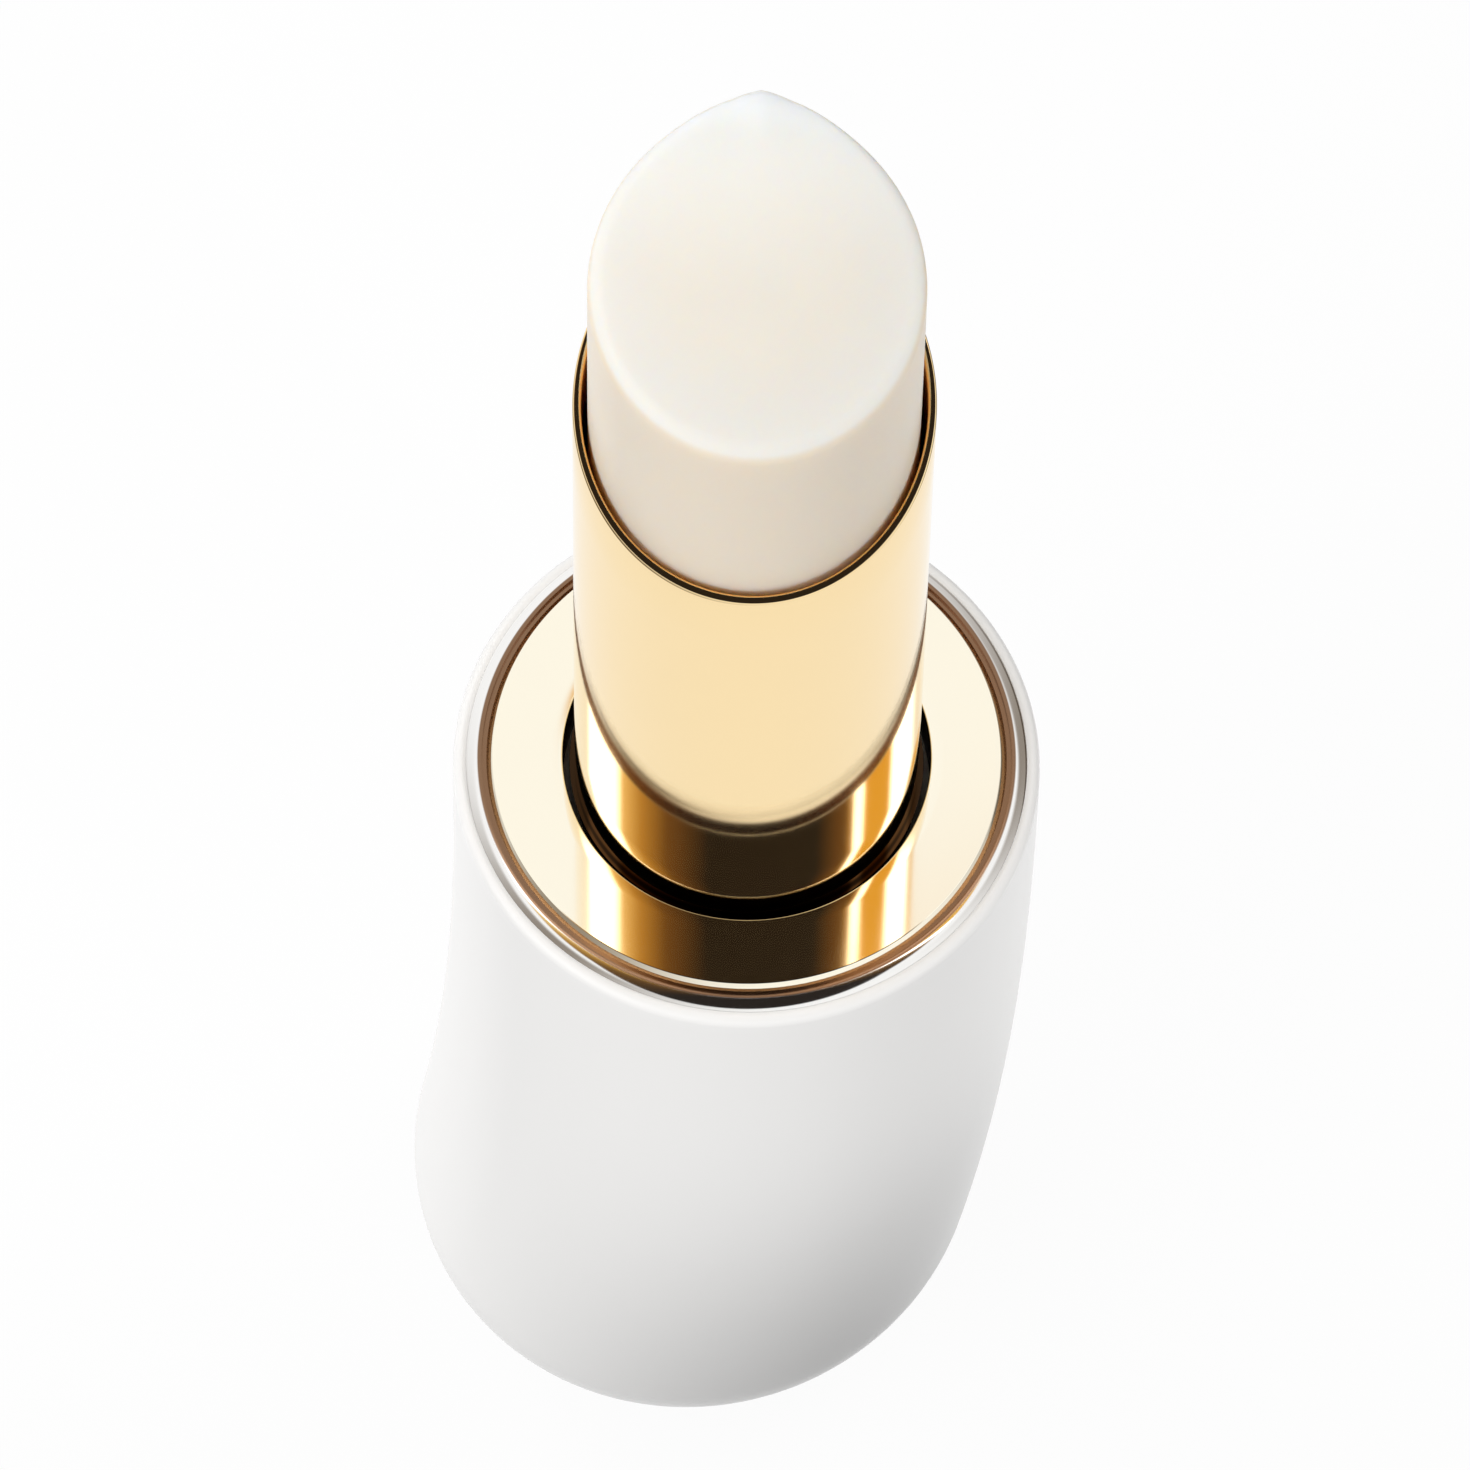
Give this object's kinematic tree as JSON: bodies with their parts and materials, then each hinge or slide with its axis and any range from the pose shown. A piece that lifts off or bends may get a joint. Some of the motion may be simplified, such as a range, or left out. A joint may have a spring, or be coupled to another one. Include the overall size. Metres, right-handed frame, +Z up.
{
  "type": "lip balm stick",
  "caption": "Twist-up lip balm stick with a leaning lacquered case, a gold deck and a slant-cut gold sleeve round the balm.",
  "frame": {"origin": "on the sleeve's axis, in the plane of the foot that the stick stands on", "axes": "+Z up along the sleeve, +Y towards the high back of the slanted rim, -X towards the side that the case leans to"},
  "size_m": [0.0245, 0.0228, 0.0815],
  "materials": {
    "white_lacquer": "satin gloss white lacquer",
    "polished_ring": "mirror polished",
    "gold_deck": "gold anodised, mirror polished",
    "gold_sleeve": "gold anodised, mirror polished",
    "plated_magnet": "nickel plated",
    "core_plastic": "moulded, matt",
    "cam_plastic": "moulded, natural",
    "guide_plastic": "moulded, natural",
    "carrier_plastic": "moulded, natural",
    "cast_weight": "as cast",
    "foot_disc": "satin, plain",
    "silicone": "soft",
    "balm_wax": "waxy, slightly translucent"
  },
  "bodies": {
    "base": {"outer_case": "white_lacquer", "mouth_ring": "polished_ring", "top_plate": "gold_deck", "closure_magnet": "plated_magnet", "inner_core": "core_plastic", "cam_sleeve": "cam_plastic", "base_weight": "cast_weight", "base_disc": "foot_disc"},
    "tube": {"gold_sleeve": "gold_sleeve", "guide_tube": "guide_plastic", "brake_ring": "silicone"},
    "carrier": {"carrier_cup": "carrier_plastic", "balm": "balm_wax"}
  },
  "joints": [
    {"name": "sleeve_turn", "type": "hinge", "parent": "base", "child": "tube", "pos_m": [0, 0, 0.041], "axis": [0, 0, 1], "range_deg": [-219, 189]},
    {"name": "balm_climb", "type": "slide", "parent": "tube", "child": "carrier", "axis": [0, 0, 1], "range_m": [-0.011, 0.0095]}
  ],
  "couplings": [
    {"joint": "balm_climb", "follows": "sleeve_turn", "m_per_rad": 0.0028648}
  ]
}
